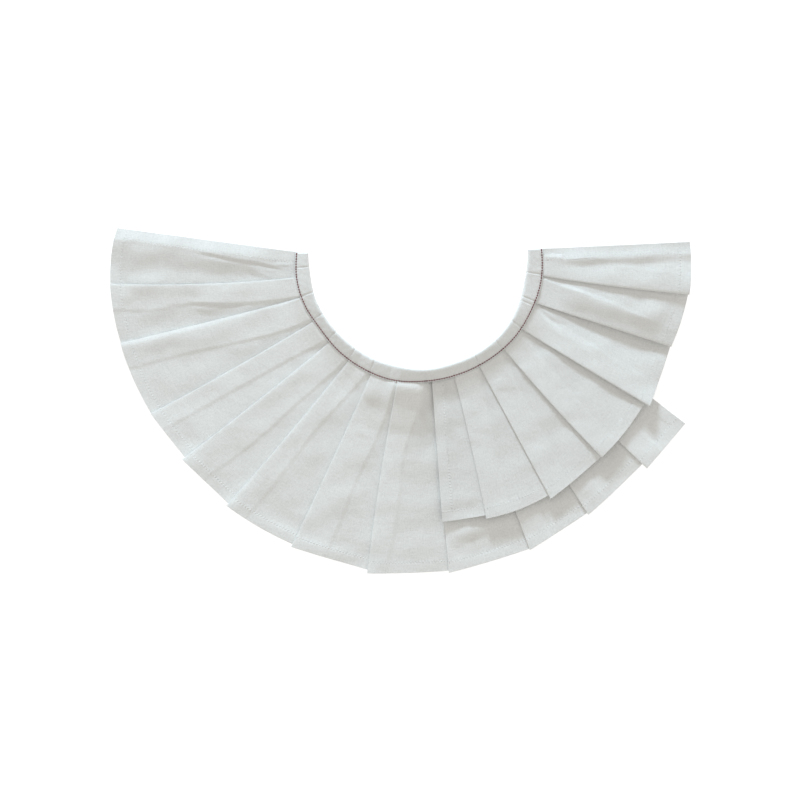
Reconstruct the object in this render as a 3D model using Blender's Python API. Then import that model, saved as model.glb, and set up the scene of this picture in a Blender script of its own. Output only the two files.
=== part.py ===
"""Detachable collar, laid flat: a long and a short knife-pleated cotton panel, bound at the neck.

The collar lies front side up on a surface, seen from above with its neck opening towards +Y.
The long panel starts at the left end of the neck binding. The short one starts at the centre
front and lies on the long one as far as that one's end, then reaches the right end alone.

Angles are degrees round the neck: 0 is the left end, 90 the centre front, 180 the right end.
Sizes are millimetres, and become metres where a mesh is made.
"""

import math
from collections import namedtuple

import bpy
from mathutils import Vector

METRES = 0.001

# Cloth
WALL = 1.0  # thickness of one wall of cloth
HEM_WALL = 1.3  # thickness where the cloth is turned under as a hem
GAP = 0.3  # air between pieces, and between the layers of a pleat
HEM = 12.0  # depth of the turned hem
HEM_RAMP = 1.0  # half the width over which the wall thickens into the hem

# Neck: how far the binding's folded edge and its outer edge are from the neck centre
NECK_CENTRE = Vector((20.41, 150.53))  # puts the middle of the collar's footprint at the origin
Neck = namedtuple("Neck", "deg inner outer")
NECK = [
    Neck(-2, 116.8, 130.8),
    Neck(10, 117.6, 132.4),
    Neck(22, 118.8, 132.4),
    Neck(36, 118.4, 130.8),
    Neck(50, 117.6, 132.0),
    Neck(64, 117.6, 133.4),
    Neck(78, 117.8, 134.2),
    Neck(92, 118.4, 132.6),
    Neck(108, 117.4, 131.6),
    Neck(124, 117.6, 131.9),
    Neck(140, 117.0, 131.9),
    Neck(152, 115.0, 130.8),
    Neck(168, 112.6, 130.2),
    Neck(184, 113.6, 128.0),
]
BINDING_FROM = -2.0
BINDING_TO = 183.9
ROOT_DEPTH = 9.6  # how far the panels' top edges reach into the binding
NOSE = 2.1  # how far the binding's folded edge takes to round over
RIDGE = 0.35  # height of the mark that a pleat makes across the binding
RIDGE_BEFORE = 1.4  # degrees over which a mark rises
RIDGE_AFTER = 2.4  # degrees over which it fades
BINDING_STEP = 4.0  # degrees between the binding's plain sections

# Pleats
ROOT_RADIUS = 122.0  # about how far the panels' top edges are from the neck centre
TUCK_RISE = 3.5  # how much higher than its face a hidden fold ends at the hem
SHOULDER = 1.8  # how far a face stays raised past the hidden fold that it covers
BAND_FLOOR = WALL + GAP  # height of the panels inside the binding, above its lower layer
BAND_EASE = 14.0  # over which a panel comes down from the binding to the surface
STACK = 3 * WALL + 2 * GAP  # one pleat: its face, the fold back and the end of the last face

# The short panel on the long one
OVER_LONG = STACK + GAP  # height at which the short panel lies on the long one
OVER_LONG_HEM = 1.0  # how much more that is near the short panel's hem
EASE_BEFORE = 18.0  # the short panel starts down this far before the long one's end edge
EASE_AFTER = 22.0  # and lies on the surface this far past it
FRONT_FROM = 86.0  # degrees from which the binding thickens for the second panel
FRONT_TO = 106.0

# One row for each knife edge, with a panel's two plain edges as its first and last row:
# the angle at the neck, the angle and the reach from the neck centre at the hem, the reach
# there of the face that goes under it, how far the hem of its own face bows out, how far the
# edge strays sideways half-way, the cloth hidden behind it at the root and at the hem, and
# its lift at the hem.
Fold = namedtuple("Fold", "seam_deg hem_deg reach under_reach bow stray root_tuck tuck lift")
LONG_FOLDS = [
    Fold(-2.0, -5.5, 317.7, 0, 2.8, 0, 0, 0, 0),
    Fold(9.7, 5.1, 324.7, 324.7, 1.8, 0, 12, 25, 1.2),
    Fold(19.0, 16.2, 325.6, 325.4, 2.7, 0, 16, 24, 1.5),
    Fold(31.8, 30.4, 325.3, 325.1, 0.3, 1.0, 16, 17, 1.0),
    Fold(44.0, 40.7, 325.6, 322.5, 0.2, -1.5, 16, 26, 1.2),
    Fold(56.2, 52.4, 328.8, 326.3, 2.4, 0, 16, 17, 0.9),
    Fold(68.2, 66.3, 331.4, 328.4, 0.4, 0.8, 16, 32, 1.2),
    Fold(80.6, 80.8, 335.6, 332.1, 0.9, -2.5, 18, 23, 1.5),
    Fold(96.0, 95.5, 332.4, 330.6, 1.0, 0, 17, 25, 1.3),
    Fold(111.5, 110.8, 328.3, 327.2, 0.3, 0, 16, 22, 1.5),
    Fold(124.0, 123.4, 323.3, 321.3, 0.8, 0, 16, 22, 1.5),
    Fold(138.5, 137.2, 325.5, 319.2, 0.1, 0, 17, 20, 1.5),
    Fold(157.5, 148.0, 329.5, 329.5, 0, 0, 0, 0, 0),
]
SHORT_FOLDS = [
    Fold(96.0, 95.0, 278.7, 0, 0.3, 0, 0, 0, 0),
    Fold(106.2, 104.5, 283.0, 279.6, 3.0, 0, 15, 20, 1.8),
    Fold(119.2, 118.6, 288.2, 284.1, 1.0, 0, 16, 19, 1.4),
    Fold(133.0, 132.6, 283.5, 282.9, 2.6, 0, 14, 19, 2.0),
    Fold(144.8, 147.1, 287.0, 281.4, 0.7, 0, 16, 20, 5.2),
    Fold(158.2, 160.4, 279.7, 279.3, 1.5, 0, 16, 16, 5.6),
    Fold(171.4, 171.9, 283.6, 282.8, 1.6, 0, 14, 18, 2.6),
    Fold(183.9, 183.0, 282.2, 282.2, 0, 0, 0, 0, 0),
]
FOLLOWED_BY_BINDING = 94.0  # the binding shows the long panel's pleats up to here, then the short one's

# Depths from the root at which a panel has a ring, before the even ones further down
IN_BAND = ROOT_DEPTH + 0.8
TOP_RINGS = (0.0, IN_BAND, IN_BAND + 0.45 * BAND_EASE, IN_BAND + BAND_EASE)
EVEN_RINGS = 5


def clear_scene():
    for obj in list(bpy.data.objects):
        bpy.data.objects.remove(obj)


def eased(share):
    """0 below 0, 1 above 1, and a smooth rise between."""
    share = min(max(share, 0.0), 1.0)
    return share * share * (3 - 2 * share)


def round_neck(degrees, radius):
    """The plan point at an angle round the neck and a distance from its centre."""
    turn = math.radians(degrees)
    return NECK_CENTRE + Vector((-math.cos(turn), -math.sin(turn))) * radius


def along(table, degrees, column):
    """A column of the neck's table at an angle, on a smooth curve through its rows."""
    after = min(max(sum(row.deg <= degrees for row in table), 1), len(table) - 1)
    rows = [table[min(max(after + step, 0), len(table) - 1)] for step in (-2, -1, 0, 1)]
    before, left, right, beyond = (getattr(row, column) for row in rows)
    share = (degrees - rows[1].deg) / (rows[2].deg - rows[1].deg)
    start, end = (right - before) / 2, (beyond - left) / 2
    middle = 3 * (right - left) - 2 * start - end
    return left + share * (start + share * (middle + share * (start + end - 2 * (right - left))))


def root(degrees):
    """The plan point where a panel's top edge is, inside the binding."""
    return round_neck(degrees, along(NECK, degrees, "outer") - ROOT_DEPTH)


def strayed(top, bottom, share, stray):
    """A point down a fold, straight but for one soft bend."""
    aside = (bottom - top).normalized().orthogonal()
    return top.lerp(bottom, share) + aside * (4 * share * (1 - share) * stray)


def knife_edge(fold, share):
    """A point down a fold's visible edge, from the root at share 0 to the hem at share 1."""
    return strayed(root(fold.seam_deg), round_neck(fold.hem_deg, fold.reach), share, fold.stray)


def under_edge(fold, share):
    """The point of the face before that lies right under that edge."""
    hem = round_neck(fold.hem_deg, fold.under_reach)
    return strayed(root(fold.seam_deg), hem, share, fold.stray)


def hidden_edge(fold, share):
    """A point down the fold that is hidden behind that edge, where the cloth turns back."""
    top = root(fold.seam_deg + math.degrees(fold.root_tuck / ROOT_RADIUS))
    hem_turn = math.degrees(fold.tuck / fold.reach)
    hem = round_neck(fold.hem_deg + hem_turn, fold.under_reach - TUCK_RISE)
    return strayed(top, hem, share, fold.stray)


def bowed(start, end, part, share, bow):
    """A point part of the way across: on a curve round the neck at the root, bowed at the hem."""
    outward = ((start + end) / 2 - NECK_CENTRE).normalized()
    chord = (end - start).length
    curve = chord * chord / (8 * ROOT_RADIUS) * (1 - share) + bow * share
    return start.lerp(end, part) + outward * (4 * part * (1 - part) * curve)


def panel_depth(folds):
    """The mean length of a panel's folds, from root to hem."""
    lengths = [(knife_edge(fold, 1) - knife_edge(fold, 0)).length for fold in folds]
    return sum(lengths) / len(lengths)


def long_floor(point, depth):
    """What the long panel lies on: the surface, or the lower layer of the binding near the neck."""
    return BAND_FLOOR * (1 - eased((depth - IN_BAND) / BAND_EASE))


def past_long_end(point):
    """How far a plan point lies past the long panel's end edge."""
    top, bottom = knife_edge(LONG_FOLDS[-1], 0), knife_edge(LONG_FOLDS[-1], 1)
    along = (bottom - top).normalized()
    away = point - top
    return along.x * away.y - along.y * away.x


def held_up(point):
    """1 where the short panel lies on the long one, 0 where it has come down past its end."""
    return 1 - eased((past_long_end(point) + EASE_BEFORE) / (EASE_BEFORE + EASE_AFTER))


def short_floor(point, depth):
    """What the short panel lies on: the long panel, and the surface past that one's end."""
    rise = OVER_LONG + OVER_LONG_HEM * eased((depth - IN_BAND) / panel_depth(SHORT_FOLDS))
    return long_floor(point, depth) + rise * held_up(point)


def wall_at(depth, deep, from_side):
    """The cloth's thickness: more within a hem's depth of the lower edge or of a side edge."""
    hemmed = min(deep - depth, from_side) <= HEM - HEM_RAMP
    return HEM_WALL if hemmed and depth > IN_BAND else WALL


def ring_depths(deep):
    """Depths of a panel's rings: close together at the binding and across the hem's line."""
    top, last = TOP_RINGS[-1], deep - HEM - HEM_RAMP
    even = [top + (last - top) * step / EVEN_RINGS for step in range(1, EVEN_RINGS + 1)]
    return [*TOP_RINGS, *even, deep - HEM + HEM_RAMP, deep]


def across_face(folds, number, share):
    """Points across one pleat's face, each with its level, its lift and how far a side edge is.

    A face starts at its knife edge on two hidden layers, comes down past the fold that it
    covers, and ends under the next knife edge. The first face has no layers under it.
    """
    fold, following = folds[number], folds[number + 1]
    start, edge = knife_edge(fold, share), under_edge(following, share)
    last = number == len(folds) - 2
    end = edge if last else hidden_edge(following, share)
    shown, under = (edge - start).length, (end - edge).length
    side_hem = [HEM - HEM_RAMP, HEM + HEM_RAMP]
    if number == 0:
        marks = [0.0, *side_hem, shown / 2, shown, shown + under]
        level = dict.fromkeys(marks, 0.0)
    else:
        covered = (hidden_edge(fold, share) - start).length
        high = covered + SHOULDER
        low = shown - (0.35 * HEM if last else SHOULDER)
        drop = [high + (low - high) * step / 4 for step in range(5)]
        ends = [shown - mark for mark in side_hem] + [shown]
        marks = [0.0, covered / 2, *drop, *(ends if last else [shown + under / 2, shown + under])]
        level = {mark: 2 * (1 - eased((mark - high) / (low - high))) for mark in marks}
    points = []
    for mark in sorted(marks):
        point = bowed(start, edge, mark / shown, share, fold.bow)
        if mark > shown:
            point = edge.lerp(end, (mark - shown) / under)
        from_side = mark if number == 0 else shown - mark if last else shown
        points.append((point, level[mark], fold.lift * (1 - eased(mark / shown)), from_side))
    return points


def cloth_line(folds, floor, depth, deep):
    """The middle of the cloth across a panel at one depth, as (point, wall) from edge to edge."""
    share = depth / deep
    rise = max(0.0, (depth - IN_BAND) / (deep - IN_BAND)) ** 1.6
    plain = wall_at(depth, deep, deep)
    line = []

    def add(point, level, lift, wall):
        height = floor(point, depth) + wall / 2 + level * (plain + GAP) + lift
        line.append((Vector((point.x, point.y, height)), wall))

    for number in range(len(folds) - 1):
        for point, level, lift, from_side in across_face(folds, number, share):
            add(point, level, lift * rise, wall_at(depth, deep, from_side))
        if number == len(folds) - 2:
            break
        following = folds[number + 1]
        turned, edge = hidden_edge(following, share), knife_edge(following, share)
        lift = following.lift * rise
        out = (turned - edge).normalized() * (plain + GAP) / 2
        add(turned + out, 0.5, 0.0, plain)
        add(turned, 1.0, 0.0, plain)
        add(turned.lerp(edge, 0.5), 1.0, lift * 0.4, plain)
        add(edge, 1.0, lift, plain)
        add(edge - out, 1.5, lift, plain)
    return line


def both_sides(line):
    """The two surfaces of the cloth, half a wall to each side of its middle line."""
    upper, lower = [], []
    for number, (point, wall) in enumerate(line):
        before = line[max(number - 1, 0)][0]
        after = line[min(number + 1, len(line) - 1)][0]
        down_panel = Vector((point.x - NECK_CENTRE.x, point.y - NECK_CENTRE.y, 0.0))
        outward = down_panel.cross(after - before).normalized() * wall / 2
        upper.append(point + outward)
        lower.append(point - outward)
    return upper, lower


def add_solid(name, points, faces, material):
    """An object with this closed mesh, its points given in millimetres."""
    mesh = bpy.data.meshes.new(name)
    mesh.from_pydata([point * METRES for point in points], [], faces)
    mesh.update()
    mesh.shade_smooth()
    mesh.set_sharp_from_angle(angle=math.radians(35))
    mesh.materials.append(material)
    obj = bpy.data.objects.new(name, mesh)
    bpy.context.scene.collection.objects.link(obj)
    return obj


def closed_sheet(name, sheets, material):
    """A wall between two grids of points, (upper, lower) for each ring, closed all round."""
    rings, width = len(sheets), len(sheets[0][0])
    points = [point for upper, lower in sheets for point in [*upper, *lower]]

    def up(ring, column):
        return ring * 2 * width + column

    def down(ring, column):
        return up(ring, column) + width

    faces = []
    for ring in range(rings - 1):
        for column in range(width - 1):
            nearer, further = (ring, column), (ring, column + 1)
            below, across = (ring + 1, column), (ring + 1, column + 1)
            faces.append((up(*nearer), up(*below), up(*across), up(*further)))
            faces.append((down(*nearer), down(*further), down(*across), down(*below)))
        faces.append((up(ring, 0), down(ring, 0), down(ring + 1, 0), up(ring + 1, 0)))
        end = width - 1
        faces.append((up(ring, end), up(ring + 1, end), down(ring + 1, end), down(ring, end)))
    for column in range(width - 1):
        top, hem = 0, rings - 1
        faces.append((up(top, column), up(top, column + 1), down(top, column + 1), down(top, column)))
        faces.append((up(hem, column), down(hem, column), down(hem, column + 1), up(hem, column + 1)))
    return add_solid(name, points, faces, material)


def pleated_panel(name, folds, floor, material):
    """One pleated panel, with its top edge in the binding and its hem at the other end."""
    deep = panel_depth(folds)
    sheets = [both_sides(cloth_line(folds, floor, depth, deep)) for depth in ring_depths(deep)]
    return closed_sheet(name, sheets, material)


def binding_marks():
    """The angles at which a pleat shows across the binding."""
    marks = [fold.seam_deg for fold in LONG_FOLDS[1:-1] if fold.seam_deg < FOLLOWED_BY_BINDING]
    return marks + [fold.seam_deg for fold in SHORT_FOLDS[1:-1]]


def binding_angles():
    """The angles of the binding's sections: both ends, each pleat's mark, and plain ones between."""
    angles = {BINDING_FROM, BINDING_TO}
    for mark in binding_marks():
        angles |= {mark - RIDGE_BEFORE, mark, mark + RIDGE_AFTER}
    steps = int((BINDING_TO - BINDING_FROM) / BINDING_STEP)
    for step in range(1, steps):
        plain = BINDING_FROM + step * BINDING_STEP
        if min(abs(plain - angle) for angle in angles) > RIDGE_BEFORE:
            angles.add(plain)
    return sorted(angles)


def binding_section(degrees):
    """The binding's section at an angle: a folded strip over one panel's pleats, or over both."""
    folded, open_edge = along(NECK, degrees, "inner"), along(NECK, degrees, "outer")
    ends = (round_neck(degrees, folded), round_neck(degrees, open_edge))
    second = max(held_up(point) for point in ends)
    second *= eased((degrees - FRONT_FROM) / (FRONT_TO - FRONT_FROM))
    ceiling = BAND_FLOOR + STACK + second * OVER_LONG + GAP
    ridge = RIDGE if degrees in binding_marks() else 0.0
    top = ceiling + WALL + ridge
    middle = (ceiling + WALL) / 2
    outer = [(open_edge, top), (folded + NOSE, top)]
    inner = [(open_edge, ceiling), (folded + NOSE, ceiling)]
    for turn in (35, 0, -35):
        back = NOSE * (1 - math.cos(math.radians(turn)) ** 0.5)
        high = math.sin(math.radians(turn)) * 1.35
        outer.append((folded + back, middle + high * middle))
        inner.append((folded + WALL + back * 0.6, middle + high * (middle - WALL)))
    outer += [(folded + NOSE, 0.0), (open_edge, 0.0)]
    inner += [(folded + NOSE, WALL), (open_edge, WALL)]
    place = [(round_neck(degrees, reach), height) for reach, height in outer + inner[::-1]]
    return [Vector((point.x, point.y, height)) for point, height in place]


def neck_binding(name, material):
    """The strip folded over the top edges of both panels, open along its outer side."""
    sections = [binding_section(degrees) for degrees in binding_angles()]
    size = len(sections[0])
    points = [point for section in sections for point in section]
    faces = []
    for number in range(len(sections) - 1):
        here, there = number * size, (number + 1) * size
        for corner in range(size):
            after = (corner + 1) % size
            faces.append((here + corner, there + corner, there + after, here + after))
    half = size // 2
    for first, flip in ((0, False), ((len(sections) - 1) * size, True)):
        for corner in range(half - 1):
            face = [corner, corner + 1, size - 2 - corner, size - 1 - corner]
            face = [first + point for point in face]
            faces.append(face[::-1] if flip else face)
    return add_solid(name, points, faces, material)


def cotton(name, colour, roughness):
    """A plain cloth finish."""
    material = bpy.data.materials.new(name)
    material.use_nodes = True
    shader = material.node_tree.nodes["Principled BSDF"]
    shader.inputs["Base Color"].default_value = (*colour, 1.0)
    shader.inputs["Roughness"].default_value = roughness
    shader.inputs["Metallic"].default_value = 0.0
    return material


def build():
    clear_scene()
    lawn = cotton("white_cotton_lawn", (0.80, 0.81, 0.80), 0.85)
    under_lawn = cotton("white_cotton_lawn_under", (0.77, 0.78, 0.77), 0.85)
    bias = cotton("white_cotton_bias", (0.78, 0.79, 0.78), 0.80)
    pleated_panel("long_panel", LONG_FOLDS, long_floor, under_lawn)
    pleated_panel("short_panel", SHORT_FOLDS, short_floor, lawn)
    neck_binding("neck_binding", bias)


build()
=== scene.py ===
"""The looks of a detachable pleated collar, laid flat: white cotton panels and their stitching.

Angles are degrees round the neck: 0 is the left end, 90 the centre front, 180 the right end.
Sizes are millimetres, and become metres where a mesh is made.
"""

import math
import random
from collections import namedtuple

import bpy
import numpy as np
from bpy.props import FloatProperty, FloatVectorProperty, PointerProperty
from bpy.types import Operator, Panel, PropertyGroup
from mathutils import Matrix, Vector


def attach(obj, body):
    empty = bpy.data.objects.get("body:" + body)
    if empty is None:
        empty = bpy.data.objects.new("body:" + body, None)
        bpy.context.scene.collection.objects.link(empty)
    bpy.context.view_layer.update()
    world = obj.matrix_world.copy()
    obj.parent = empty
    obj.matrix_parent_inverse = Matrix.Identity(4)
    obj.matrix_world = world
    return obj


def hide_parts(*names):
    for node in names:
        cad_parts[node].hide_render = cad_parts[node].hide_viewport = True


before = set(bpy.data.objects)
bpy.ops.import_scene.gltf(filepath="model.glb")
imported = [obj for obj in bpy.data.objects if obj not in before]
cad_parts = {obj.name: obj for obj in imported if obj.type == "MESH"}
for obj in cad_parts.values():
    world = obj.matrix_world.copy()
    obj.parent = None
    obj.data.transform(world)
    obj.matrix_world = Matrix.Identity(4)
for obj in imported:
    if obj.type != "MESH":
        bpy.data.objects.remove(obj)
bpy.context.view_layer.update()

bl_info = {
    "name": "Detachable pleated collar",
    "version": (1, 0, 0),
    "blender": (4, 5, 0),
    "location": "View3D > Sidebar > Collar",
    "description": "Builds a knife-pleated cotton collar, its stitching and a plain studio",
    "category": "Add Mesh",
}

METRES = 0.001
BODY = "root"

# Heights of the cloth. The solids that it stands for keep wider steps, to stay clear.
STEP = 0.68  # from one layer of a pleat to the next
ROOT_DEPTH = 9.6  # how far the panels' top edges reach into the binding
IN_BAND = ROOT_DEPTH + 0.8  # depth at which they come out of it
ROOT_RADIUS = 122.0  # about how far those edges are from the neck centre
SEAM_RADIUS = 131.0  # about how far the seam is from it
OVER_LONG = 2.9  # height at which the short panel lies on the long one
OVER_LONG_HEM = 1.1  # and how much more at its hem
EASE_BEFORE = 18.0  # how far before the long panel's end the short one starts to come down
EASE_AFTER = 22.0  # and how far past it that ends
FRONT_FROM = 85.0  # the angles between which the binding rises onto both panels
FRONT_TO = 100.0
TUCK_RISE = 3.5  # how much nearer to the neck than its face a hidden fold ends at the hem

# Distances from the neck centre, at angles round it: of the binding's folded edge, of its open
# edge on the solid, and of its row of stitches
NECK_CENTRE = Vector((20.41, 150.53))
Neck = namedtuple("Neck", "deg inner outer sewn")
NECK = [
    Neck(-2, 115.8, 130.8, 127.9),
    Neck(10, 115.4, 132.4, 129.9),
    Neck(22, 116.8, 132.4, 129.8),
    Neck(36, 116.4, 130.8, 127.9),
    Neck(50, 116.2, 132.0, 129.6),
    Neck(64, 116.6, 133.4, 130.9),
    Neck(78, 116.2, 134.2, 131.9),
    Neck(92, 117.4, 132.6, 130.4),
    Neck(108, 116.6, 131.6, 129.7),
    Neck(124, 117.3, 131.9, 129.9),
    Neck(140, 117.0, 131.9, 130.6),
    Neck(152, 115.6, 130.8, 129.9),
    Neck(168, 113.1, 130.2, 130.0),
    Neck(184, 114.0, 128.0, 128.2),
]
BINDING_FROM = -2.0  # the angles at which the binding ends
BINDING_TO = 183.9

# One row for each knife edge and each end of a panel: its angle at the seam and at the hem, its
# reach there from the neck centre, the reach of the face that goes under it, how far the hem
# bows out on its own face, and how far the edge strays sideways half-way down. The cloth hidden
# behind it is given at the neck, as a share of the way to the next edge, and then in
# millimetres at five even steps down to the hem. The roll is how high and how wide the cloth
# rounds over at the edge. The lift is how far the edge stands open, and the rise how far its
# whole stack does, with the face before it climbing to it from that share of its width on.
Fold = namedtuple(
    "Fold",
    "seam_deg hem_deg reach under_reach bow stray neck_tuck tucks"
    " roll_high roll_wide lift rise rise_from",
)
NO_TUCK = (0, 0, 0, 0, 0)
LONG_FOLDS = [
    Fold(-2.0, -5.5, 317.7, 0, 2.8, 0, 0, NO_TUCK, 0, 1, 0, 0, 0.5),
    Fold(10.0, 5.1, 324.7, 324.7, 1.8, 3.6, 0.92, (20, 19, 18, 24, 25), 0.3, 3.0, 1.8, 0, 0.5),
    Fold(19.6, 16.2, 325.6, 325.4, 2.7, 1, 0.9, (26.5, 26, 24, 23.5, 25), 1.3, 6.0, 1.4, 0, 0.6),
    Fold(31.8, 30.4, 325.3, 325.1, 0.3, 1.5, 0.85, (19, 18, 17.5, 18, 18), 0.4, 3.6, 0.9, 2.0, 0.4),
    Fold(44.2, 40.7, 325.6, 322.5, 0.2, 1, 0.9, (24.5, 25.5, 28.5, 28.5, 27), 0.5, 4.6, 0.8, 7.0, 0.2),
    Fold(56.4, 52.4, 328.8, 326.3, 2.4, 1.5, 0.86, (19, 16, 17.5, 19.5, 19), 0.6, 4.6, 0.7, 7.0, 0.3),
    Fold(68.2, 66.3, 331.4, 328.4, 0.4, 0.8, 0.93, (29, 30, 29, 32, 33), 0.4, 4.0, 0.8, 5.8, 0.2),
    Fold(80.6, 80.8, 335.6, 332.1, 0.9, -2.5, 0.85, (24, 18, 19.5, 19, 15), 0.4, 3.2, 1.0, 3.4, 0.3),
    Fold(96.0, 95.5, 332.4, 330.6, 1.0, 0, 0.80, (23, 24, 24, 24, 25), 0.2, 2.5, 0.7, 0, 0.5),
    Fold(111.5, 110.8, 328.3, 327.2, 0.3, 0, 0.80, (22, 22, 22, 22, 22), 0.2, 2.5, 0.9, 0, 0.5),
    Fold(124.0, 123.4, 323.3, 321.3, 0.8, 0, 0.80, (22, 22, 22, 22, 22), 0.2, 2.5, 0.9, 0, 0.5),
    Fold(138.5, 137.2, 325.5, 319.2, 0.1, 0, 0.75, (20, 20, 20, 20, 20), 0.2, 2.5, 1.0, 1.6, 0.5),
    Fold(157.5, 148.0, 329.5, 329.5, 0, 0, 0, NO_TUCK, 0, 1, 0, 0, 0.5),
]
SHORT_FOLDS = [
    Fold(96.0, 95.0, 278.7, 0, 0.3, 0, 0, NO_TUCK, 0, 1, 0, 0, 0.5),
    Fold(106.8, 104.5, 283.0, 279.6, 3.0, 1.2, 0.85, (21, 20, 20, 21, 22), 0.2, 2.0, 0.5, 0, 0.5),
    Fold(119.2, 118.6, 288.2, 284.1, 1.0, 0, 0.85, (22, 22, 22, 21, 20), 0.2, 2.0, 0.6, 0, 0.5),
    Fold(133.0, 132.4, 283.5, 282.9, 2.6, -1.8, 0.85, (21, 20, 20, 19, 19), 0.4, 2.0, 1.9, 1.0, 0.7),
    Fold(144.8, 147.1, 287.0, 281.4, 0.7, -0.5, 0.90, (22, 21.5, 21, 20, 20), 0.4, 2.0, 3.9, 0, 0.6),
    Fold(158.2, 160.4, 279.7, 279.3, 1.5, 0, 0.90, (24, 24, 22, 18, 16), 0.4, 2.0, 4.3, 2.0, 0.1),
    Fold(171.4, 171.9, 283.6, 282.8, 1.6, -1.5, 0.75, (20, 20, 20, 19, 18), 0.4, 2.0, 1.7, 14.0, 0.0),
    Fold(183.9, 183.0, 282.2, 282.2, 0, 0, 0, NO_TUCK, 0, 1, 0, 13.5, 0.0),
]

# Soft creases in the cloth: the places that each runs through, as an angle and a
# distance from the neck centre, how wide and how high it is, and how much its left side
# stands above its right one. A negative height is a trough.
Crease = namedtuple("Crease", "path width height tilt", defaults=(0,))
LONG_CREASES = [
    Crease(*row)
    for row in (
        (
            ((7.5, 132), (5.2, 145), (4, 153), (2.4, 168), (0.8, 195), (-0.6, 220), (-1.3, 240)),
            3.2, -0.4, -0.6,
        ),
        (((15.6, 185), (14.4, 205), (12.6, 225), (11.4, 245), (10.8, 272)), 3, -0.2, -0.45),
        (((2.6, 178), (5.5, 168), (8.2, 155)), 3, 0.5),
        (((4, 185), (6, 178), (8, 169)), 3, -0.5),
        (((4.6, 132), (3.2, 143), (2.6, 155)), 3, 0.5),
        (((7.6, 130), (5.9, 139), (5.0, 146)), 5, -1.1),
        (((-1, 140), (1.5, 134)), 3, -0.5),
        (((9.6, 144), (11.5, 140), (14, 137), (17.5, 135)), 2.5, -0.6),
        (((13.8, 252), (15.2, 239), (16, 229)), 4, -0.6),
        (((13.8, 215), (13.4, 260), (12.9, 314)), 20, 0, -1.1),
        (((3.4, 185), (2.8, 240), (2.4, 312)), 24, 0, -0.7),
        (((8.2, 225), (7.4, 265), (7, 314)), 27, 0, -1.5),
        (((57, 316), (68, 318), (80, 318)), 16, 0, -0.7),
        (((12.3, 244), (13.5, 233), (15.5, 225)), 3, 0.45),
        (((11, 265), (13.5, 258)), 3, 0.3),
        (((20, 138), (22, 135), (24, 133)), 4, -0.5),
        (((36, 250), (38.5, 244), (41, 236)), 3, 0.55),
        (((31, 258), (35, 256)), 4, -0.3),
        (((57, 146), (60, 147), (63, 151)), 3.5, -0.6),
        (((62, 148), (64.5, 153), (67.5, 158)), 2.5, -0.5),
        (((66, 153), (74, 152), (81, 152)), 18, 3.0),
        (((69.5, 160), (72, 163), (75.5, 161)), 5, -0.8),
        (((70, 190), (72.5, 193), (75.5, 200)), 3, 0.9),
        (((71, 209), (76, 210)), 5, -0.3),
        (((81.5, 155), (86, 159), (90, 159), (93.5, 163)), 6, -0.7),
        (((91.5, 140), (95, 139)), 3, -1),
        (((91, 149), (94.5, 156)), 2, 0.4),
        (((53.5, 248), (56.5, 244)), 5, -0.5),
        (((56, 302), (60, 307)), 5, -0.3),
        (((95.5, 304), (103, 301), (111, 297)), 19, -0.9, 2.0),
        (((125.5, 313), (130, 309), (135, 304)), 5, 0.5),
    )
]
SHORT_CREASES = [
    Crease(*row)
    for row in (
        (((162.3, 145), (162.5, 205), (163.5, 275)), 28, 0, 2.6),
        (((150.5, 138), (150.5, 180), (151, 228)), 20, 0, 0.9),
        (((176.5, 190), (177, 230), (177.3, 272)), 22, 0, 0.8),
        (((95.5, 226), (103, 227), (112, 226)), 22, 0, -0.5),
        (((95.5, 271), (100, 270), (104, 271)), 12, -1.2),
        (((100, 176), (104, 185)), 4, -0.4),
        (((106.5, 166), (109, 171), (111, 176)), 6, 0.5),
        (((106.5, 193), (109, 196), (112, 202)), 5, -0.5),
        (((111, 205), (110.6, 226), (110.2, 257)), 4, -0.3),
        (((115.5, 233), (118, 246)), 4, -0.3),
        (((119.8, 163), (122, 168), (124.5, 171)), 5, -0.55),
        (((120, 154), (125, 158)), 4, 0.4),
        (((125, 160), (128.5, 148)), 3, 0.35),
        (((121, 236), (124, 223), (127, 210)), 10, -0.6),
        (((134.5, 215), (139, 220)), 10, -0.5),
        (((134, 140), (137, 143)), 3, -0.5),
        (((155.3, 133), (153.6, 145), (152.5, 158), (152, 173), (151.6, 191)), 3.5, 0.8),
        (((156.3, 134), (155, 145), (153.8, 158), (153.2, 168)), 3, -0.9),
        (((156.5, 140), (155.5, 160), (155, 180), (155, 210)), 12, 0, 1.0),
        (((157.3, 136), (156.2, 147), (155, 158)), 2.5, 0.5),
        (((160, 133), (160.8, 147)), 2.5, 0.5),
        (
            ((169.3, 132), (168.2, 149), (167.2, 173),
             (166, 194), (165.3, 215), (164.6, 242), (164.3, 257)),
            3.5, 0.8, 0,
        ),
        (((169.4, 158), (168.4, 176), (167.8, 194)), 3, -0.4),
        (((161, 262), (167, 265)), 12, -0.6),
        (((176.8, 158), (177, 210), (177.5, 262)), 8, -0.4),
        (((181.2, 150), (182.8, 144)), 2.5, -0.5),
        (((179.6, 136), (180.2, 149)), 2.5, 0.4),
        (((180, 168), (179, 200)), 4, 0.3),
    )
]


def eased(share):
    """0 below 0, 1 above 1, and a smooth rise between."""
    share = min(max(share, 0.0), 1.0)
    return share * share * (3 - 2 * share)


def eased_all(share):
    """The same for a whole grid."""
    share = np.clip(share, 0.0, 1.0)
    return share * share * (3 - 2 * share)


def round_neck(degrees, radius):
    """The plan point at an angle round the neck and a distance from its centre."""
    turn = math.radians(degrees)
    return NECK_CENTRE + Vector((-math.cos(turn), -math.sin(turn))) * radius


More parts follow.
